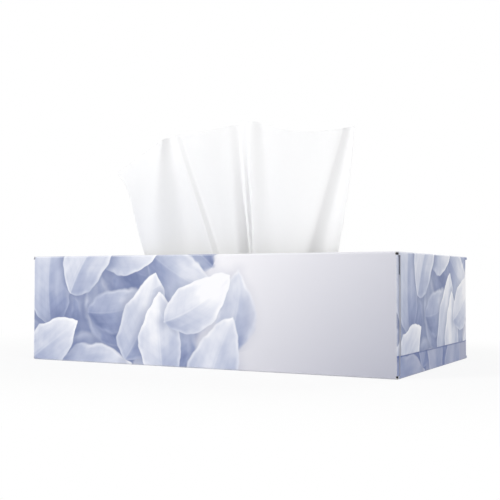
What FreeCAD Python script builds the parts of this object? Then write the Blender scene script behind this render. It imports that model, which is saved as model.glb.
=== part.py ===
import FreeCAD, Part

import math
import os

# Carton, outside sizes in millimetres
LENGTH = 230.0
DEPTH = 128.0
HEIGHT = 61.5
BOARD = 0.5
CREASE_OUTER = 0.9
CREASE_INNER = 0.4

# Glued parts of the blank
GLUE_LAP = 14.0
END_FLAP_REACH = 50.2
END_FLAP_FRONT_INSET = 2.6
END_FLAP_BACK_INSET = 6.4
DUST_FLAP_REACH = 52.0
DUST_FLAP_CLEARANCE = 1.6

# Opening in the top panel and the film glued under it
OVAL_LENGTH = 184.0
OVAL_WIDTH = 50.0
STUB_COUNT = 48
STUB_WIDTH = 0.9
STUB_REACH = 0.5
FILM_LENGTH = 208.0
FILM_WIDTH = 84.0
FILM = 0.2
SLIT_LENGTH = 172.0
SLIT_GAPE = 24.0

# Sheets: cut width along X, thickness of the two plies, pile of interfolded sheets
SHEET_WIDTH = 205.0
SHEET = 0.3
PILE_DEPTH = 110.0
PILE_HEIGHT = 45.0
FOLD_BULGE = 2.5

# Path of the raised sheet below the slit: it dips to the back and turns round to lie on the pile
TURN_RADIUS = 1.5
TURN_PLACE = 38.0
THROAT_PULL = 22.0
THROAT_RISE = 8.0

# Raised sheet in the slit and at its free edge: X of its two side edges, and how far they bow outwards
SLIT_LEFT = -76.6
SLIT_RIGHT = 56.8
TOP_LEFT = -96.0
TOP_RIGHT = 65.4
LEFT_BOW = 38.0
RIGHT_BOW = 7.0

# Height of the free edge above the carton's top, at shares of the sheet's width
FREE_EDGE = ((0.0, 55.8), (0.1, 64.6), (0.17, 71.2), (0.223, 76.0), (0.29, 78.0), (0.4, 78.6), (0.47, 80.6),
             (0.585, 82.4), (0.62, 81.8), (0.68, 78.4), (0.74, 75.1), (0.84, 73.4), (0.94, 73.2), (1.0, 75.2))

# Folds of the raised sheet, valleys to the back and ridges to the front (depth below zero): X, depth,
# half width to the left and half width to the right, each in the slit and then at the free edge
PLEATS = (
    ((-70.0, -62.0), (-1.0, -1.2), (5.0, 7.0), (9.0, 1.6)),
    ((-46.5, -57.5), (6.5, 2.5), (12.0, 2.4), (14.0, 5.0)),
    ((-23.6, -52.5), (-1.4, -0.7), (7.0, 4.0), (1.4, 1.6)),
    ((-21.0, -49.2), (2.2, 0.8), (1.6, 2.0), (8.0, 9.0)),
    ((-9.0, -20.0), (2.4, 2.0), (9.0, 10.0), (6.0, 9.0)),
    ((-3.8, -10.8), (7.0, 2.8), (2.6, 4.0), (2.6, 3.0)),
    ((0.4, -3.6), (6.5, 0.5), (2.2, 2.0), (1.9, 2.0)),
    ((4.4, 0.5), (-1.4, -1.2), (1.6, 4.0), (5.0, 4.0)),
    ((17.5, 7.0), (1.6, 1.2), (7.0, 4.0), (7.0, 6.0)),
    ((38.5, 59.0), (-0.9, -0.7), (9.0, 5.0), (2.5, 2.0)),
    ((46.5, 63.4), (3.6, 2.4), (6.0, 3.5), (6.0, 3.0)),
)
PANEL_OFFSET = -3.5
SIDE_TUCK = 2.5
LEAN_LEFT = -6.0
LEAN_RIGHT = 3.0

# Facets of the raised sheet: across it between one fold line and the next, and up it
COLUMNS = 6
THROAT_ROWS = 7
RAISED_ROWS = 11

BOARD_TOP = HEIGHT - BOARD
FILM_UNDER = BOARD_TOP - FILM
PILE_TOP = BOARD + PILE_HEIGHT
SLEEVE_LENGTH = LENGTH - 2 * (2 * BOARD + CREASE_OUTER)
SAME_POINT = 1e-6


def vector(x, y, z):
    return FreeCAD.Vector(x, y, z)


def outline(corners, place):
    """A closed wire through the corners, each (u, v, radius); place(u, v) sets a corner in space."""
    edges = []
    runs = []
    for i, (u, v, radius) in enumerate(corners):
        here = place(u, v)
        to_before = (place(*corners[i - 1][:2]) - here).normalize()
        to_after = (place(*corners[(i + 1) % len(corners)][:2]) - here).normalize()
        half_angle = to_before.getAngle(to_after) / 2
        trim = radius / math.tan(half_angle)
        runs.append((here + to_before * trim, here + to_after * trim))
        if radius:
            inward = (to_before + to_after).normalize()
            middle = here + inward * (radius / math.sin(half_angle) - radius)
            edges.append(Part.Arc(runs[-1][0], middle, runs[-1][1]).toShape())
    for i, (arrive, _) in enumerate(runs):
        leave = runs[i - 1][1]
        if leave.distanceToPoint(arrive) > SAME_POINT:
            edges.append(Part.makeLine(leave, arrive))
    return Part.Wire(Part.__sortEdges__(edges))


def sleeve():
    """The four panels round the pile, with the glue flap that turns in behind the back panel's raw edge."""
    half = DEPTH / 2
    lap_bottom = HEIGHT - GLUE_LAP
    raw_edge = HEIGHT - CREASE_OUTER

    def across(y, z):
        return vector(-SLEEVE_LENGTH / 2, y, z)

    outside = outline((
        (half, raw_edge, 0),
        (half, 0, CREASE_OUTER),
        (-half, 0, CREASE_OUTER),
        (-half, HEIGHT, CREASE_OUTER),
        (half - BOARD, HEIGHT, CREASE_OUTER),
        (half - BOARD, raw_edge, 0),
    ), across)
    inside = outline((
        (half - 2 * BOARD, lap_bottom, 0),
        (half - 2 * BOARD, BOARD_TOP, CREASE_INNER),
        (-half + BOARD, BOARD_TOP, CREASE_INNER),
        (-half + BOARD, BOARD, CREASE_INNER),
        (half - BOARD, BOARD, CREASE_INNER),
        (half - BOARD, lap_bottom, 0),
    ), across)
    return Part.Face([outside, inside]).extrude(vector(SLEEVE_LENGTH, 0, 0))


def folded_flap(root, inward, crease, reach, side, low, high):
    """A flap at one end: it runs on from the panel, turns through its crease and closes the end.

    root is a point of the panel's outer face on the plane x = 0, inward points into the carton,
    crease is the outer face's distance from that plane, and low to high is its width along the crease.
    """
    along = vector(side, 0, 0)
    width_axis = vector(0, 1, 0) if inward.z else vector(0, 0, 1)

    def place(out, depth):
        return root + along * out + inward * depth + width_axis * low

    profile = outline((
        (SLEEVE_LENGTH / 2, 0, 0),
        (crease, 0, CREASE_OUTER),
        (crease, reach, 0),
        (crease - BOARD, reach, 0),
        (crease - BOARD, BOARD, CREASE_INNER),
        (SLEEVE_LENGTH / 2, BOARD, 0),
    ), place)
    return Part.Face(profile).extrude(width_axis * (high - low))


def end_closure(side):
    """Dust flaps innermost, the bottom flap over them and the top flap outermost, all glued."""
    half = DEPTH / 2
    up = vector(0, 0, 1)
    flaps = []
    for y_side, foot in ((-1, half), (1, half)):
        panel = vector(0, y_side * foot, 0)
        flaps.append(folded_flap(panel, vector(0, -y_side, 0), LENGTH / 2 - 2 * BOARD, DUST_FLAP_REACH, side,
                                 DUST_FLAP_CLEARANCE, HEIGHT - DUST_FLAP_CLEARANCE))
    for height, inward, crease in ((0, up, LENGTH / 2 - BOARD), (HEIGHT, -up, LENGTH / 2)):
        panel = vector(0, 0, height)
        shoulder = half - CREASE_OUTER
        flaps.append(folded_flap(panel, inward, crease, 2 * CREASE_OUTER, side, -shoulder, shoulder))
        flaps.append(folded_flap(panel, inward, crease, END_FLAP_REACH, side,
                                 -half + END_FLAP_FRONT_INSET, half - END_FLAP_BACK_INSET))
    return flaps


def oval(length, width, bottom, height):
    """An upright oval block, used for the torn-out opening and for the slit."""
    ring = Part.Ellipse(vector(0, 0, bottom), length / 2, width / 2).toShape()
    return Part.Face(Part.Wire(ring)).extrude(vector(0, 0, height))


def torn_out_piece():
    """The oval that is pressed out of the top panel, notched where the perforation tears and leaves stubs."""
    piece = oval(OVAL_LENGTH, OVAL_WIDTH, BOARD_TOP - BOARD, 3 * BOARD)
    ring = Part.Ellipse(vector(0, 0, BOARD_TOP - BOARD), OVAL_LENGTH / 2, OVAL_WIDTH / 2).toShape()
    stubs = []
    for point in ring.discretize(STUB_COUNT + 1)[:-1]:
        inward = math.atan2(-point.y / OVAL_WIDTH ** 2, -point.x / OVAL_LENGTH ** 2)
        stub = Part.makeBox(2 * STUB_REACH, STUB_WIDTH, 3 * BOARD, vector(-STUB_REACH, -STUB_WIDTH / 2, 0))
        stub.rotate(vector(0, 0, 0), vector(0, 0, 1), math.degrees(inward))
        stubs.append(stub.translate(point))
    return piece.cut(stubs)


def carton():
    """One die-cut blank: sleeve, glue flap and eight end flaps, with the oval torn out of the top panel."""
    blank = sleeve().fuse(end_closure(1) + end_closure(-1))
    return blank.cut(torn_out_piece()).removeSplitter()


def film_window():
    """Clear film glued to the underside of the top panel, with the slit that holds the raised sheet."""
    film = Part.makeBox(FILM_LENGTH, FILM_WIDTH, FILM, vector(-FILM_LENGTH / 2, -FILM_WIDTH / 2, FILM_UNDER))
    corners = [edge for edge in film.Edges if abs(edge.tangentAt(edge.FirstParameter).z) > 0.5]
    film = film.makeFillet(3.0, corners)
    return film.cut(oval(SLIT_LENGTH, SLIT_GAPE, FILM_UNDER - FILM, 3 * FILM))


def tissue_stack():
    """The pile of interfolded sheets as one block, rounded at the front and back where the sheets fold."""
    half = PILE_DEPTH / 2
    profile = outline((
        (-half, BOARD, FOLD_BULGE),
        (half, BOARD, FOLD_BULGE),
        (half, PILE_TOP, FOLD_BULGE),
        (-half, PILE_TOP, FOLD_BULGE),
    ), lambda y, z: vector(-SHEET_WIDTH / 2, y, z))
    return Part.Face(profile).extrude(vector(SHEET_WIDTH, 0, 0))


LOWER_HALF = PILE_TOP
TAIL = LOWER_HALF + SHEET
UPPER_HALF = TAIL + SHEET


def next_sheet():
    """The sheet below, folded round the raised sheet's tail: its fold is at the front of the pile."""
    front = -PILE_DEPTH / 2
    lower_end = PILE_DEPTH / 2 - FOLD_BULGE
    upper_end = TURN_PLACE - 2 * TURN_RADIUS
    inner = (UPPER_HALF - LOWER_HALF - SHEET) / 2
    outer = inner + SHEET
    profile = outline((
        (lower_end, LOWER_HALF, 0),
        (lower_end, LOWER_HALF + SHEET, 0),
        (front, LOWER_HALF + SHEET, inner),
        (front, UPPER_HALF, inner),
        (upper_end, UPPER_HALF, 0),
        (upper_end, UPPER_HALF + SHEET, 0),
        (front - SHEET, UPPER_HALF + SHEET, outer),
        (front - SHEET, LOWER_HALF, outer),
    ), lambda y, z: vector(-SHEET_WIDTH / 2, y, z))
    return Part.Face(profile).extrude(vector(SHEET_WIDTH, 0, 0))


def smooth(share):
    return share * share * (3 - 2 * share)


def mix(low, high, share):
    return low + (high - low) * share


def free_edge_height(across):
    """Height of the free edge above the slit, at a share of the sheet's width."""
    for (left, low), (right, high) in zip(FREE_EDGE, FREE_EDGE[1:]):
        if across <= right:
            return mix(low, high, (across - left) / (right - left))
    return FREE_EDGE[-1][1]


def side_edges(rise):
    """X of the sheet's left and right edge, at a share of the way up from the slit."""
    left = mix(SLIT_LEFT, TOP_LEFT, rise) + LEFT_BOW * rise ** 3 * (1 - rise)
    right = mix(SLIT_RIGHT, TOP_RIGHT, rise) + RIGHT_BOW * rise * (1 - rise)
    return left, right


def share_across(x, rise):
    left, right = side_edges(rise)
    return (x - left) / (right - left)


def fold_line_x(fold, rise):
    """X on a fold line, or between two where fold isn't whole; 0 and the last are the sheet's side edges."""
    left, right = side_edges(rise)
    lines = [left] + [mix(*places, rise) for places, *_ in PLEATS] + [right]
    before = min(int(fold), len(lines) - 2)
    return mix(lines[before], lines[before + 1], fold - before)


def pleated(x, rise):
    """How far the sheet stands out towards the back at X: its folds open as it rises."""
    across = share_across(x, rise)
    edge = 2 - smooth(min(across / 0.12, 1.0)) - smooth(min((1 - across) / 0.1, 1.0))
    out = (PANEL_OFFSET + SIDE_TUCK * edge) * (1 - rise)
    for places, depths, left_widths, right_widths in PLEATS:
        away = x - mix(*places, rise)
        width = mix(*(left_widths if away < 0 else right_widths), rise)
        out += mix(*depths, smooth(rise)) * math.exp(-(away / width) ** 2)
    lean = LEAN_LEFT * (1 - across) ** 2 + LEAN_RIGHT * across ** 2
    return out + lean * smooth(rise)


def raised_point(fold, rise):
    """A point above the slit; rise runs from 0 in the slit to 1 at the free edge."""
    x = fold_line_x(fold, rise)
    height = free_edge_height(share_across(x, rise))
    return vector(x, pleated(x, rise), HEIGHT + height * rise)


def throat_point(fold, rise):
    """A point below the slit; rise runs from 0 at the turn, where the sheet is flat, to 1 in the slit."""
    low = vector(0, TURN_PLACE, TAIL + SHEET / 2 + 2 * TURN_RADIUS)
    high = vector(0, 0, HEIGHT)
    points = (low, low - vector(0, THROAT_PULL, 0), high - vector(0, 0, THROAT_RISE), high)
    weights = ((1 - rise) ** 3, 3 * rise * (1 - rise) ** 2, 3 * rise ** 2 * (1 - rise), rise ** 3)
    centre = vector(0, 0, 0)
    for point, weight in zip(points, weights):
        centre += point * weight
    gather = smooth(rise)
    slit_x = fold_line_x(fold, 0.0)
    flat_x = (share_across(slit_x, 0.0) - 0.5) * SHEET_WIDTH
    stand = pleated(slit_x, 0.0) * gather
    return centre + vector(mix(flat_x, slit_x, gather), stand * gather, stand * (1 - gather))


def sheet_point(fold, along):
    """along runs from -1 at the turn on the pile, through 0 in the slit, to 1 at the free edge."""
    if along < 0:
        return throat_point(fold, along + 1)
    return raised_point(fold, along)


def sheet_normal(fold, along):
    """Direction square to the sheet, towards the front above the slit and towards the pile below it."""
    step = 1e-3
    small_step = 1e-7
    last = len(PLEATS) + 1
    over = sheet_point(min(fold + step, last), along) - sheet_point(max(fold - step, 0), along)
    up = sheet_point(fold, min(along + small_step, 1)) - sheet_point(fold, max(along - small_step, -1))
    return over.cross(up).normalize()


def sheet_points(offset):
    """Rows of points up the sheet, each a list across it, at a distance from the sheet's middle."""
    rises = [row / THROAT_ROWS - 1 for row in range(THROAT_ROWS)]
    rises += [row / RAISED_ROWS for row in range(RAISED_ROWS + 1)]
    folds = [column / COLUMNS for column in range((len(PLEATS) + 1) * COLUMNS + 1)]
    return [[sheet_point(fold, rise) + sheet_normal(fold, rise) * offset for fold in folds] for rise in rises]


def facets_between(lower, upper):
    """The small flat faces between two lists of points of the same length."""
    faces = []
    for i in range(len(lower) - 1):
        for corners in ((lower[i], lower[i + 1], upper[i]), (lower[i + 1], upper[i + 1], upper[i])):
            faces.append(Part.Face(Part.makePolygon(corners + corners[:1])))
    return faces


def sheet_tail():
    """The faces of the sheet's end on the pile and of its turn at the back, open where the sheet runs on."""
    start = -PILE_DEPTH / 2 + 2 * SHEET
    inner = TURN_RADIUS - SHEET / 2
    outer = TURN_RADIUS + SHEET / 2
    upper = TAIL + 2 * outer
    profile = outline((
        (start, TAIL, 0),
        (TURN_PLACE + outer, TAIL, outer),
        (TURN_PLACE + outer, upper, outer),
        (TURN_PLACE, upper, 0),
        (TURN_PLACE, upper - SHEET, 0),
        (TURN_PLACE + inner, upper - SHEET, inner),
        (TURN_PLACE + inner, TAIL + SHEET, inner),
        (start, TAIL + SHEET, 0),
    ), lambda y, z: vector(-SHEET_WIDTH / 2, y, z))
    tail = Part.Face(profile).extrude(vector(SHEET_WIDTH, 0, 0))
    joint = vector(0, TURN_PLACE, upper - SHEET / 2)
    return [face for face in tail.Faces if face.CenterOfMass.distanceToPoint(joint) > SHEET / 2]


def raised_sheet():
    """One sheet: its tail lies on the pile, it gathers through the slit and fans out above it."""
    front = sheet_points(SHEET / 2)
    back = sheet_points(-SHEET / 2)
    faces = sheet_tail()
    for skin in (front, back):
        for lower, upper in zip(skin, skin[1:]):
            faces += facets_between(lower, upper)
    faces += facets_between(front[-1], back[-1])
    for side in (0, -1):
        faces += facets_between([row[side] for row in front], [row[side] for row in back])
    sheet = Part.makeCompound(faces)
    sheet.sewShape()
    return Part.Solid(sheet.Shells[0])


def build():
    os.makedirs("parts", exist_ok=True)
    pieces = {
        "carton": carton(),
        "film_window": film_window(),
        "tissue_stack": tissue_stack(),
        "next_sheet": next_sheet(),
        "raised_sheet": raised_sheet(),
    }
    for name, shape in pieces.items():
        shape.exportStep(f"parts/{name}.step")
        facets = len(shape.tessellate(0.05)[1])
        print(name, "valid", shape.isValid(), "solids", len(shape.Solids), "volume", round(shape.Volume, 1),
              "facets", facets)


build()
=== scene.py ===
import math

import bmesh
import bpy
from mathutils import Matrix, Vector


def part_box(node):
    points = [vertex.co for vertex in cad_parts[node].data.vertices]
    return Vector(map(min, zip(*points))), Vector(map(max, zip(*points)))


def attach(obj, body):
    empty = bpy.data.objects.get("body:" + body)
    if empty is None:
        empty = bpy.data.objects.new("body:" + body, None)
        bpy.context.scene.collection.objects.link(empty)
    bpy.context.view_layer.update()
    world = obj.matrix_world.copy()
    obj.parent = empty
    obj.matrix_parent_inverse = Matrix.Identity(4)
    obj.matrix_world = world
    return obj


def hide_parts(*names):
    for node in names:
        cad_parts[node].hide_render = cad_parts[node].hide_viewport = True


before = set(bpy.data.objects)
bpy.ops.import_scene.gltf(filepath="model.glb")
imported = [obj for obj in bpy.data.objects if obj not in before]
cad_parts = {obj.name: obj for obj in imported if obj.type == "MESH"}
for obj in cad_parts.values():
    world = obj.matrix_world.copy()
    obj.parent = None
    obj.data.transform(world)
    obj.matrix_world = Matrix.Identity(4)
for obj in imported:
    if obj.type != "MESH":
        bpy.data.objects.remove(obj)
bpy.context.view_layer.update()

# Carton. One die-cut blank of white board, printed and varnished outside, creased, glued and closed
# with glued end flaps; the oval in its top panel is torn out along a perforation.
# The print is a general design of broad leaves in pale blue and white, on a lilac ground that runs bare.
MM = 0.001
LENGTH, DEPTH, HEIGHT = (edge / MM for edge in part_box("carton")[1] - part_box("carton")[0])


class Shade:
    """One output of a material's nodes; sums and products of it add their own nodes."""

    def __init__(self, tree, socket):
        self.tree = tree
        self.socket = socket

    def node(self, kind, settings=None, output=0, **inputs):
        """Adds a node, sets it up, joins its inputs, and gives the output that is asked for."""
        made = self.tree.nodes.new(kind)
        for name, value in (settings or {}).items():
            if name == "stops":
                while len(made.color_ramp.elements) < len(value):
                    made.color_ramp.elements.new(1.0)
                for element, (place, colour) in zip(made.color_ramp.elements, value):
                    element.position = place
                    element.color = colour
            else:
                setattr(made, name, value)
        for name, value in inputs.items():
            key = int(name[1:]) if name[0] == "i" and name[1:].isdigit() else name.replace("_", " ")
            socket = made.inputs[key]
            if isinstance(value, Shade):
                self.tree.links.new(value.socket, socket)
            else:
                socket.default_value = value
        return Shade(self.tree, made.outputs[output])

    def maths(self, operation, other=0.0, clamp=False):
        return self.node("ShaderNodeMath", {"operation": operation, "use_clamp": clamp}, i0=self, i1=other)

    def __add__(self, other):
        return self.maths("ADD", other)

    __radd__ = __add__

    def __mul__(self, other):
        return self.maths("MULTIPLY", other)

    __rmul__ = __mul__

    def __sub__(self, other):
        return self.maths("SUBTRACT", other)

    def __rsub__(self, other):
        return self.node("ShaderNodeMath", {"operation": "SUBTRACT"}, i0=other, i1=self)

    def __truediv__(self, other):
        return self.maths("DIVIDE", other)

    def __lt__(self, other):
        return self.maths("LESS_THAN", other)

    def __gt__(self, other):
        return self.maths("GREATER_THAN", other)

    def size(self):
        """The value without its sign."""
        return self.maths("ABSOLUTE")

    def held(self):
        """The value kept between 0 and 1."""
        return self.maths("ADD", clamp=True)

    def step(self, low, high):
        """0 below low and 1 above high, with a smooth rise between."""
        settings = {"interpolation_type": "SMOOTHSTEP"}
        return self.node("ShaderNodeMapRange", settings, i0=self, i1=low, i2=high, i3=0.0, i4=1.0)

    def wave(self):
        """A wave between 0 and 1, one for each whole number."""
        return (self * math.tau).maths("SINE") * 0.5 + 0.5

    def mixed(self, low, high):
        """A colour between low and high, by this value."""
        return self.node("ShaderNodeMix", {"data_type": "RGBA"}, output=2, i0=self, i6=low, i7=high)

    def inked(self, stops):
        """A colour off a row of printing inks, by this value."""
        inks = [(place, linear(*ink)) for place, ink in stops]
        return self.node("ShaderNodeValToRGB", {"stops": inks}, Fac=self.held())

    def noise(self, scale, detail=2.0, roughness=0.5):
        """A noise value round 0.5, from a place."""
        return self.node("ShaderNodeTexNoise", Vector=self, Scale=scale, Detail=detail, Roughness=roughness)

    def axes(self):
        """The three parts of a place or a direction."""
        parts = self.node("ShaderNodeSeparateXYZ", i0=self).socket.node.outputs
        return [Shade(self.tree, part) for part in parts]

    def beside(self, name):
        """Another output of the node that this value comes from."""
        return Shade(self.tree, self.socket.node.outputs[name])

    def feeds(self, surface, name):
        self.tree.links.new(self.socket, surface.inputs[name])

    def raises(self, surface, strength, distance):
        """Uses the value as the relief of a surface."""
        bump = self.node("ShaderNodeBump", Strength=strength, Distance=distance, Height=self)
        bump.feeds(surface, "Normal")
        return bump


def point(x, y, z=0.0):
    return x.node("ShaderNodeCombineXYZ", i0=x, i1=y, i2=z)


def linear(red, green, blue):
    """A colour as a shader takes it, from its printed values of 0 to 255."""
    def bend(value):
        value /= 255
        return value / 12.92 if value <= 0.04045 else ((value + 0.055) / 1.055) ** 2.4
    return (bend(red), bend(green), bend(blue), 1.0)


def paint(name, **constants):
    """A new material: its surface shader with its constants set, and the place that patterns start from."""
    material = bpy.data.materials.new(name)
    material.use_nodes = True
    tree = material.node_tree
    surface = tree.nodes["Principled BSDF"]
    for socket, value in constants.items():
        surface.inputs[socket.replace("_", " ")].default_value = value
    return material, surface, Shade(tree, tree.nodes.new("ShaderNodeTexCoord").outputs["Object"])


def dress(piece, material):
    piece.data.materials.clear()
    piece.data.materials.append(material)


# The inks of the leaves, from their darkest shade to their lightest
INK = ((0.0, (118, 130, 168)), (0.22, (150, 160, 193)), (0.5, (188, 195, 216)), (0.76, (223, 226, 237)),
       (1.0, (250, 250, 253)))
LEAF_SHADE = (112, 124, 163)

# Layers of leaves, back to front: spacing of the leaves, shift across and up as shares of it,
# heading in degrees, length as a share of the spacing, softness of their edges, and tone
LEAF_LAYERS = (
    (44.0, 0.13, 0.41, 100, 0.86, 3.0, 0.36),
    (56.0, 0.62, 0.17, 35, 0.84, 2.4, 0.44),
    (50.0, 0.37, 0.83, 140, 0.84, 1.8, 0.52),
    (60.0, 0.91, 0.55, 60, 0.84, 1.2, 0.60),
    (66.0, 0.24, 0.29, 20, 0.84, 0.7, 0.66),
    (72.0, 0.55, 0.71, 115, 0.82, 0.5, 0.76),
    (64.0, 0.78, 0.08, 45, 0.78, 0.4, 0.84),
    (78.0, 0.05, 0.62, 80, 0.68, 0.4, 0.92),
)

# A leaf's shape in mm and shares of its own length, and how far it strays from its layer's rows
JITTER = 0.5
TURNING = 2.4
LEAST_SIZE, SIZE_RANGE = 0.86, 0.25
WIDTH = 0.74
BASE_FULLNESS, TIP_FULLNESS = 0.62, 0.85
CURVE, CURVE_START, STRAIGHT_SIZE = 40.0, 0.6, 0.98
EDGE_WAVE, WAVE_SCALE = 7.0, 5.0
RIB_WIDTH = 0.9
VEIN_GAP, VEIN_SLANT, VEIN_THINNESS = 5.5, 7.0, 4.0
STREAK_LENGTH, STREAK_WIDTH, STREAK_CHANGE, STREAK_SCALE = 2.0, 0.16, 40.0, 1.3
RIM = (-3.0, -0.2)
LEAVES_END = 27.0

# A leaf's shadow on what lies beneath, which thins out towards the bare ground
SHADOW_REACH = 7.0
SHADOW_DEPTH, SHADOW_THINNING = 0.55, 0.42
THINNING_ACROSS = (-60.0, 20.0)

# How much each feature of a leaf lightens or darkens its ink
BASE_TONE, TIP_TONE = -0.34, 0.5
ACROSS_TONE = 0.0016
SIDE_TONE, SIDE_FADE = 0.26, 0.6
RIM_TONE, RIB_TONE, VEIN_TONE = 0.14, 0.12, 0.035
STREAK_TONE, RUFFLE_TONE = 0.3, 0.42


def make_leaf_layer():
    """The nodes that print one layer of leaves over what lies beneath it, as a group for every layer."""
    tree = bpy.data.node_groups.new("leaf_layer", "ShaderNodeTree")
    tree.interface.new_socket("Beneath", in_out="INPUT", socket_type="NodeSocketColor")
    measures = ("Across", "Up", "Spacing", "Shift across", "Shift up", "Heading", "Share", "Softness",
                "Tone")
    for name in measures:
        tree.interface.new_socket(name, in_out="INPUT", socket_type="NodeSocketFloat")
    tree.interface.new_socket("Colour", in_out="OUTPUT", socket_type="NodeSocketColor")
    given = tree.nodes.new("NodeGroupInput")
    beneath, across, up, spacing, shift_across, shift_up, heading, share, softness, tone = (
        Shade(tree, given.outputs[index]) for index in range(1 + len(measures)))

    # The nearest leaf of the layer, and the place along and beside it
    spot = point(across / spacing + shift_across, up / spacing + shift_up)
    chance = spot.node("ShaderNodeTexVoronoi", {"voronoi_dimensions": "2D"}, output=1, Vector=spot,
                       Scale=1.0, Randomness=JITTER)
    heart = chance.beside("Position")
    turn_chance, size_chance, _ = chance.axes()
    turn = (turn_chance - 0.5) * TURNING + heading
    away = spot.node("ShaderNodeVectorMath", {"operation": "SUBTRACT"}, i0=spot, i1=heart)
    turned = away.node("ShaderNodeVectorRotate", {"rotation_type": "Z_AXIS"}, Vector=away, Angle=turn * -1.0)
    local_along, local_aside, _ = turned.axes()
    size = size_chance * SIZE_RANGE + LEAST_SIZE
    length = spacing * share * size

    # The leaf's outline, curved to one side, and the edge's distance
    along = local_along * spacing / length + 0.5
    held = along.held()
    curve = (held * (1 - held) * 4.0 - CURVE_START) * (size - STRAIGHT_SIZE) * CURVE
    aside = local_aside * spacing - curve
    beyond = (along - held) * length
    from_rib = (aside * aside + beyond * beyond).maths("POWER", 0.5)
    width = length * held.maths("POWER", BASE_FULLNESS) * (1 - held).maths("POWER", TIP_FULLNESS) * WIDTH
    ruffle = spot.noise(WAVE_SCALE) - 0.5
    edge = from_rib - width + ruffle * EDGE_WAVE
    kept = ((heart.axes()[0] - shift_across) * spacing) < LEAVES_END
    leaf = (1 - edge.step(softness * -1.0, softness)) * kept
    shadow = (1 - edge.step(-1.0, SHADOW_REACH)) * kept
    shadow = shadow * (SHADOW_DEPTH - across.step(*THINNING_ACROSS) * SHADOW_THINNING)

    # Its tone, from base to tip, from side to side, and by rim, rib, veins and streaks
    side = aside.step(-2.0, 2.0)
    rib = 1 - from_rib.step(0.0, RIB_WIDTH)
    vein = (held * length / VEIN_GAP - from_rib / VEIN_SLANT).wave().maths("POWER", VEIN_THINNESS)
    streaks = point(held * STREAK_LENGTH, aside * STREAK_WIDTH, size * STREAK_CHANGE)
    streak = streaks.noise(STREAK_SCALE) - 0.5
    light = tone + held * TIP_TONE + BASE_TONE + across * ACROSS_TONE
    light = light + (side - 0.5) * (1 - held * SIDE_FADE) * SIDE_TONE + edge.step(*RIM) * RIM_TONE
    light = light + rib * (1 - held) * RIB_TONE - vein * (1 - held) * VEIN_TONE
    light = light + streak * STREAK_TONE + ruffle * RUFFLE_TONE
    colour = leaf.mixed(shadow.mixed(beneath, linear(*LEAF_SHADE)), light.inked(INK))
    colour.feeds(tree.nodes.new("NodeGroupOutput"), "Colour")
    return tree


leaf_layer = make_leaf_layer()


def printed_leaves(colour, across, up):
    """Prints every layer of leaves over a colour, from the back layer to the front one."""
    for spacing, shift_across, shift_up, heading, share, softness, tone in LEAF_LAYERS:
        colour = colour.node("ShaderNodeGroup", {"node_tree": leaf_layer}, Beneath=colour,
                             Across=across, Up=up, Spacing=spacing,
                             Shift_across=shift_across, Shift_up=shift_up,
                             Heading=math.radians(heading), Share=share, Softness=softness, Tone=tone)
    return colour


board, board_surface, place = paint("printed_board", Specular_IOR_Level=0.2)
x, y, z = (part * (1 / MM) for part in place.axes())
normal = place.beside("Normal").axes()
steep_x, steep_y, steep_z = (part.size() for part in normal)

# Which panel a point is on, and whether it is on the outside of the board
FLAP_DEPTH = 1.6
SKIN = 0.3
FACING = 0.5
FLAT = 0.985
near_end = x.size() > LENGTH / 2 - FLAP_DEPTH
on_end = near_end * (x * normal[0] > 0.0) * (steep_x > FACING)
on_top = (z > HEIGHT - SKIN) * (normal[2] > FACING)
on_bottom = (z < SKIN) * (normal[2] < -FACING)
on_side = (y.size() > DEPTH / 2 - SKIN) * (y * normal[1] > 0.0) * (steep_y > FACING)
on_crease = steep_x.maths("MAXIMUM", steep_y).maths("MAXIMUM", steep_z) < FLAT
outside = (on_end + on_top + on_bottom + on_side).held()

# The artwork is laid out flat: along the front and back, on over the top and the underside, and its left
# part on the ends. The bottom flap on an end carries another part of it.
END_SHIFT = 51.0
FLAP_EDGE = 11.3
FLAP_SHIFT = 31.0
behind = y > 0.0
front_across = x * (1 - behind * (1 - on_top - on_bottom) * 2.0)
end_across = y * x.maths("SIGN") - END_SHIFT
under_flap = on_end * (z < FLAP_EDGE)
across = front_across + (end_across + under_flap * FLAP_SHIFT - front_across) * on_end
up = z + (on_top - on_bottom) * (y + DEPTH / 2)

# Lilac ground, shaded from the upper left to the lower right, and dark foliage behind the leaves
GROUND_LIGHT = (246, 245, 249)
GROUND_DARK = (186, 187, 199)
FALL_START, FALL_LENGTH, FALL_HEIGHT = 0.32, 162, 150
FOLIAGE_SCALE = 0.02
FOLIAGE_TONE, FOLIAGE_RANGE, FOLIAGE_RISE = 0.22, 0.9, 0.003
FOLIAGE_WANDER = 40.0
FOLIAGE_END = (-46.0, 2.0)
LEAVES_FADE = (26.0, 50.0)
fall = (across * (1 / FALL_LENGTH) + FALL_START - up * (1 / FALL_HEIGHT)).held()
ground = fall.mixed(linear(*GROUND_LIGHT), linear(*GROUND_DARK))
deep = point(across * FOLIAGE_SCALE, up * FOLIAGE_SCALE)
foliage = ((deep.noise(1.0, 3.0) - 0.5) * FOLIAGE_RANGE + FOLIAGE_TONE + up * FOLIAGE_RISE).inked(INK)
bare = (across + (deep.noise(2.0, 1.0) - 0.5) * FOLIAGE_WANDER).step(*FOLIAGE_END)
leaves = printed_leaves(bare.mixed(foliage, ground), across, up)
artwork = across.step(*LEAVES_FADE).mixed(leaves, ground)

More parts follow.
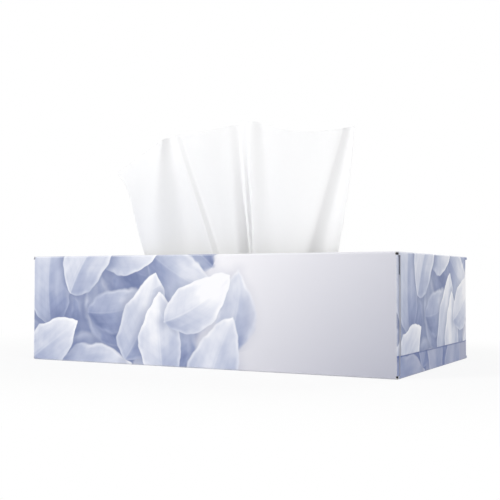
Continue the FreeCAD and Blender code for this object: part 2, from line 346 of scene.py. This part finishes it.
# Raw board inside and on the cut edges, lighter print where the board is creased, painted shade on the raw
# board near the ends, and the bottom flap on an end darker, with a painted shadow just under the top flap's
# edge
CREASE_WEAR = 0.5
END_EDGE_SHADE = 0.55
FLAP_SHADE, SEAM_SHADE, SEAM = 0.45, 0.25, 0.9
VARNISH_ROUGHNESS, RAW_ROUGHNESS, ROUGHNESS_RANGE = 0.5, 0.82, 0.08
BOARD_FIBRES = (900.0, 3.0, 0.7)
WARP_SCALE, WARP, GRAIN = 22.0, 0.6, 0.02
fibre = place.noise(*BOARD_FIBRES)
raw = fibre.mixed(linear(222, 220, 214), linear(240, 238, 233))
# Painted shade: the raw board near the ends is mixed towards grey blue, for the shade in the gap at each end
# corner
end_edge_shade = (near_end * END_EDGE_SHADE).mixed(raw, linear(150, 156, 180))
worn = (on_crease * fibre * CREASE_WEAR).mixed(artwork, linear(244, 244, 248))
# The whole bottom flap is darker; a painted shadow darkens it more in a band just under the top flap's edge
shaded = under_flap * (FLAP_SHADE + (z > FLAP_EDGE - SEAM) * SEAM_SHADE)
printed = shaded.mixed(worn, linear(74, 96, 158))
outside.mixed(end_edge_shade, printed).feeds(board_surface, "Base Color")
roughness = VARNISH_ROUGHNESS + (1 - outside) * (RAW_ROUGHNESS - VARNISH_ROUGHNESS)
(roughness + (fibre - 0.5) * ROUGHNESS_RANGE).feeds(board_surface, "Roughness")
warp = place.noise(WARP_SCALE, 1.0) * WARP + fibre * GRAIN
warp.raises(board_surface, strength=0.25, distance=0.0012)
dress(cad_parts["carton"], board)

# Film window. Thin clear film, glued under the top panel and slit along its middle; it puckers towards
# the slit, where the raised sheet pulls at it.
PUCKER_ACROSS, PUCKER_ALONG = 190.0, 40.0
PUCKER, SLACK_SCALE = 0.6, 28.0
CLEAR, CLOUDED = 0.05, 0.12
GLOSSY, DULLED = 0.05, 0.08
film, film_surface, place = paint("clear_film", Base_Color=linear(240, 243, 246), IOR=1.5)
x, y, z = place.axes()
pucker = point(x * PUCKER_ACROSS, y * PUCKER_ALONG).noise(1.0)
slack = place.noise(SLACK_SCALE, 1.0)
(pucker * PUCKER + slack).raises(film_surface, strength=0.6, distance=0.0015)
(pucker * DULLED + GLOSSY).feeds(film_surface, "Roughness")
(pucker * CLOUDED + CLEAR).feeds(film_surface, "Alpha")
dress(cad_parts["film_window"], film)

# Pile and next sheet. The pile is folded sheets, one in the next, cut square at both sides of the carton;
# the sheet on top of it is folded round the raised sheet's tail and comes up after it.
LAYER = 0.45
LAYER_WAVER, WAVER_SCALE = 3.0, 35.0
CUT_SHADE = 0.6
UPRIGHT = (0.4, 0.8)
PAPER_ROUGHNESS, PAPER_GLOSS = 0.95, 0.1
FIBRES = (420.0, 3.0, 0.65)
pile_paper, pile_surface, place = paint("folded_tissue", Roughness=PAPER_ROUGHNESS,
                                        Specular_IOR_Level=PAPER_GLOSS)
x, y, z = place.axes()
layer = (z / (LAYER * MM) + place.noise(WAVER_SCALE) * LAYER_WAVER).wave()
cut_side = 1 - place.beside("Normal").axes()[2].size().step(*UPRIGHT)
fibres = place.noise(*FIBRES)
# Painted shade: on the cut sides, the lines between the stacked sheets are darkened by CUT_SHADE
lightness = (fibres * 0.5 + 0.5) * (1 - cut_side * layer * CUT_SHADE)
lightness.mixed(linear(214, 214, 217), linear(252, 252, 252)).feeds(pile_surface, "Base Color")
(layer * cut_side + fibres * 0.3).raises(pile_surface, strength=0.5, distance=0.0003)
for node in ("tissue_stack", "next_sheet"):
    dress(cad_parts[node], pile_paper)

# Raised sheet. A two-ply facial tissue, finely creped, cut on all four sides. Its tail lies on the pile,
# it gathers in the film's slit and its free edge fans out above the carton.
SHEET_WIDTH = 205.0
SHEET_THICKNESS = 0.16
SLIT_LEFT, SLIT_RIGHT = -76.6, 56.8
TOP_LEFT, TOP_RIGHT = -96.0, 65.4
LEFT_BOW = 38.0
RIGHT_BOW = 7.0

# The free edge: places across the sheet, and the height of each above the carton
FREE_EDGE = (
    (0.0, 55.8), (0.1, 64.6), (0.17, 71.2), (0.223, 76.0), (0.29, 78.0), (0.4, 78.6), (0.47, 80.6),
    (0.585, 82.4), (0.62, 81.8), (0.68, 78.4), (0.74, 75.1), (0.84, 73.4), (0.94, 73.2), (1.0, 75.2),
)

# Each fold: its place, its depth to the back, and its half width to the left and to the right,
# all in the slit and then at the free edge
PLEATS = (
    ((-70.0, -62.0), (-1.0, -1.2), (5.0, 7.0), (9.0, 1.6)),
    ((-46.5, -57.5), (6.5, 2.5), (12.0, 2.4), (14.0, 5.0)),
    ((-23.6, -52.5), (-1.4, -0.7), (7.0, 4.0), (1.4, 1.6)),
    ((-21.0, -49.2), (2.2, 0.8), (1.6, 2.0), (8.0, 9.0)),
    ((-9.0, -20.0), (2.4, 2.0), (9.0, 10.0), (6.0, 9.0)),
    ((-3.8, -10.8), (7.0, 2.8), (2.6, 4.0), (2.6, 3.0)),
    ((0.4, -3.6), (6.5, 0.5), (2.2, 2.0), (1.9, 2.0)),
    ((4.4, 0.5), (-1.4, -1.2), (1.6, 4.0), (5.0, 4.0)),
    ((17.5, 7.0), (1.6, 1.2), (7.0, 4.0), (7.0, 6.0)),
    ((38.5, 59.0), (-0.9, -0.7), (9.0, 5.0), (2.5, 2.0)),
    ((46.5, 63.4), (3.6, 2.4), (6.0, 3.5), (6.0, 3.0)),
)
PANEL_OFFSET = -3.5
SIDE_TUCK = 2.5
LEFT_TUCK_WIDTH, RIGHT_TUCK_WIDTH = 0.12, 0.1
LEAN_LEFT, LEAN_RIGHT = -6.0, 3.0
TAIL_LIFT = 0.15
TAIL_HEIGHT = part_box("raised_sheet")[0].z / MM + TAIL_LIFT
TAIL_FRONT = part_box("raised_sheet")[0].y / MM
TURN_RADIUS = 1.5
TURN = Vector((0.0, 38.0, TAIL_HEIGHT + 2 * TURN_RADIUS))
TURN_SHARE = 0.1
THROAT_PULL = 22.0
THROAT_RISE = 8.0


def smooth(share):
    return share * share * (3 - 2 * share)


def mix(low, high, share):
    return low + (high - low) * share


def free_edge_height(across):
    for (left, low), (right, high) in zip(FREE_EDGE, FREE_EDGE[1:]):
        if across <= right:
            return mix(low, high, (across - left) / (right - left))
    return FREE_EDGE[-1][1]


def side_edges(rise):
    left = mix(SLIT_LEFT, TOP_LEFT, rise) + LEFT_BOW * rise ** 3 * (1 - rise)
    right = mix(SLIT_RIGHT, TOP_RIGHT, rise) + RIGHT_BOW * rise * (1 - rise)
    return left, right


def fold_line_x(fold, rise):
    left, right = side_edges(rise)
    lines = [left] + [mix(*pleat[0], rise) for pleat in PLEATS] + [right]
    before = min(int(fold), len(lines) - 2)
    return mix(lines[before], lines[before + 1], fold - before)


def share_across(x, rise):
    left, right = side_edges(rise)
    return (x - left) / (right - left)


def pleated(x, rise):
    """How far the sheet stands to the back at a place across it, from all its folds."""
    across = min(max(share_across(x, rise), 0.0), 1.0)
    left_tuck = 1 - smooth(min(across / LEFT_TUCK_WIDTH, 1.0))
    right_tuck = 1 - smooth(min((1 - across) / RIGHT_TUCK_WIDTH, 1.0))
    out = (PANEL_OFFSET + SIDE_TUCK * (left_tuck + right_tuck)) * (1 - rise)
    for places, depths, left_widths, right_widths in PLEATS:
        away = x - mix(*places, rise)
        width = mix(*(left_widths if away < 0 else right_widths), rise)
        out += mix(*depths, smooth(rise)) * math.exp(-(away / width) ** 2)
    return out + (LEAN_LEFT * (1 - across) ** 2 + LEAN_RIGHT * across ** 2) * smooth(rise)


def tail_point(across, along):
    """Along runs from -2 at the sheet's end on the pile to -1 at the top of its turn."""
    x = (across - 0.5) * SHEET_WIDTH
    turned = max((along + 1 + TURN_SHARE) / TURN_SHARE, 0.0)
    if turned > 0:
        angle = math.pi * (turned - 0.5)
        return TURN + Vector((x, TURN_RADIUS * math.cos(angle), TURN_RADIUS * (math.sin(angle) - 1)))
    return Vector((x, mix(TAIL_FRONT, TURN.y, (along + 2) / (1 - TURN_SHARE)), TAIL_HEIGHT))


def sheet_point(fold, along):
    """Along runs from -2 at the end on the pile, through 0 in the slit, to 1 at the free edge."""
    if along >= 0:
        x = fold_line_x(fold, along)
        height = HEIGHT + free_edge_height(min(max(share_across(x, along), 0.0), 1.0)) * along
        return Vector((x, pleated(x, along), height))
    if along < -1:
        return tail_point(share_across(fold_line_x(fold, 0.0), 0.0), along)
    rise = along + 1
    slit = Vector((0.0, 0.0, HEIGHT))
    guides = (TURN, TURN - Vector((0, THROAT_PULL, 0)), slit - Vector((0, 0, THROAT_RISE)), slit)
    weights = ((1 - rise) ** 3, 3 * rise * (1 - rise) ** 2, 3 * rise ** 2 * (1 - rise), rise ** 3)
    centre = sum((guide * weight for guide, weight in zip(guides, weights)), Vector())
    gather = smooth(rise)
    slit_x = fold_line_x(fold, 0.0)
    flat_x = (share_across(slit_x, 0.0) - 0.5) * SHEET_WIDTH
    stand = pleated(slit_x, 0.0) * gather
    return centre + Vector((mix(flat_x, slit_x, gather), stand * gather, stand * (1 - gather)))


def new_piece(name, mesh):
    """Puts a finished mesh into the scene as a piece."""
    piece = bpy.data.objects.new(name, bpy.data.meshes.new(name))
    mesh.to_mesh(piece.data)
    mesh.free()
    bpy.context.scene.collection.objects.link(piece)
    return piece


FOLDS = len(PLEATS) + 1
COLUMNS_A_FOLD = 18
SHEET_ROWS = 150
CUT_EDGE_ANGLE = 60
mesh = bmesh.new()
bmesh.ops.create_grid(mesh, x_segments=COLUMNS_A_FOLD * FOLDS, y_segments=SHEET_ROWS, size=1.0)
for vertex in mesh.verts:
    vertex.co = sheet_point((vertex.co.x + 1) / 2 * FOLDS, (vertex.co.y + 1) * 1.5 - 2) * MM
bmesh.ops.recalc_face_normals(mesh, faces=mesh.faces)
bmesh.ops.solidify(mesh, geom=mesh.faces[:], thickness=SHEET_THICKNESS * MM)
raised = new_piece("raised_tissue", mesh)
for face in raised.data.polygons:
    face.use_smooth = True
raised.data.set_sharp_from_angle(angle=math.radians(CUT_EDGE_ANGLE))

# Light passes through the thin sheet a little, and its crepe runs across it in fine lines
THIN = 0.02
CREPE_ALONG, CREPE_UP = 260.0, 1500.0
CLOUD_SCALE = 60.0
tissue, tissue_surface, place = paint("tissue", Roughness=PAPER_ROUGHNESS, Specular_IOR_Level=PAPER_GLOSS)
x, y, z = place.axes()
crepe = point(x * CREPE_ALONG, y * CREPE_ALONG, z * CREPE_UP).noise(1.0)
clouds = place.noise(CLOUD_SCALE)
fibres = place.noise(*FIBRES)
lightness = clouds * 0.5 + fibres * 0.5
lightness.mixed(linear(248, 248, 248), linear(253, 253, 253)).feeds(tissue_surface, "Base Color")
bump = (crepe * 0.6 + fibres * 0.4).raises(tissue_surface, strength=0.35, distance=0.0002)
through = bump.node("ShaderNodeBsdfTranslucent", Color=linear(251, 251, 251), Normal=bump)
lit = Shade(place.tree, tissue_surface.outputs[0])
thin = place.node("ShaderNodeMixShader", i0=THIN, i1=lit, i2=through)
thin.feeds(place.tree.nodes["Material Output"], "Surface")
dress(raised, tissue)
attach(raised, "root")
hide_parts("raised_sheet")

# Floor. A white sweep of matt paper, which keeps the carton's shadow near it and is plain white further
# off. The camera, gloss and clear film see it as white, and it lights the carton as pale paper does.
FLOOR_HALF = 3.0
SEEN_WHITE = 0.86
SHADOW_RANGE = (0.15, 0.36)
SHADOW_NARROWING = 2.0
mesh = bmesh.new()
bmesh.ops.create_grid(mesh, x_segments=1, y_segments=1, size=FLOOR_HALF)
floor = new_piece("floor", mesh)


def seen(start):
    """1 where the camera, a gloss or a clear film looks, and 0 where the surface lights the object."""
    camera = start.node("ShaderNodeLightPath", output="Is Camera Ray")
    return (camera + camera.beside("Is Glossy Ray") + camera.beside("Is Transmission Ray")).held()


floor_paint, floor_surface, place = paint("floor", Base_Color=linear(235, 235, 235), Roughness=0.9,
                                          Specular_IOR_Level=0.0)
x, y, z = place.axes()
far = (x * x + y * y * SHADOW_NARROWING).maths("POWER", 0.5).step(*SHADOW_RANGE)
white = place.node("ShaderNodeEmission", Color=(1, 1, 1, 1), Strength=1.0)
lit = Shade(place.tree, floor_surface.outputs[0])
share = seen(place) * (SEEN_WHITE + (1 - SEEN_WHITE) * far)
both = place.node("ShaderNodeMixShader", i0=share, i1=lit, i2=white)
both.feeds(place.tree.nodes["Material Output"], "Surface")
dress(floor, floor_paint)

# Light. A white room lights the carton evenly, and three square soft lamps, of different strength, stand
# at its front left, at its right end and behind it.
AMBIENT = 0.51
world = bpy.data.worlds.new("studio")
world.use_nodes = True
bpy.context.scene.world = world
background = world.node_tree.nodes["Background"]
sky = Shade(world.node_tree, background.outputs[0])
(seen(sky) * (1 - AMBIENT) + AMBIENT).feeds(background, "Strength")
background.inputs["Color"].default_value = (1, 1, 1, 1)
MIDDLE = Vector((0.0, 0.0, 0.08))


def aim(thing, place, back):
    """Stands a lamp or a camera at a place, turned to look away from the direction behind it."""
    thing.location = place
    thing.rotation_mode = "QUATERNION"
    thing.rotation_quaternion = (-back).to_track_quat("-Z", "Y")
    bpy.context.scene.collection.objects.link(thing)


# Each lamp: its name, its place and size in metres, and its power in watts
for name, spot, size, power in (
    ("key_lamp", (-0.95, -1.1, 0.9), 0.5, 13.1),
    ("fill_lamp", (1.2, -0.6, 0.8), 0.8, 5.0),
    ("back_lamp", (0.5, 1.4, 1.0), 0.8, 7.0),
):
    lamp = bpy.data.objects.new(name, bpy.data.lights.new(name, "AREA"))
    lamp.data.size = size
    lamp.data.energy = power
    aim(lamp, spot, Vector(spot) - MIDDLE)

# Camera. A long lens stands in front of the carton's right-hand half, a little below its top edge,
# and looks up by less than two degrees, as the photograph was taken.
CAMERA_PLACE = Vector((251.96, -469.68, 48.84)) * MM
CAMERA_BACK = Vector((0.47334, -0.88032, -0.03145))
FOCAL_LENGTH = 63.36
SENSOR_WIDTH = 36.0
camera = bpy.data.objects.new("camera", bpy.data.cameras.new("camera"))
camera.data.lens = FOCAL_LENGTH
camera.data.sensor_width = SENSOR_WIDTH
camera.data.clip_start = 0.01
camera.data.clip_end = 20.0
aim(camera, CAMERA_PLACE, CAMERA_BACK)
bpy.context.scene.camera = camera
bpy.context.scene.view_settings.view_transform = "Standard"
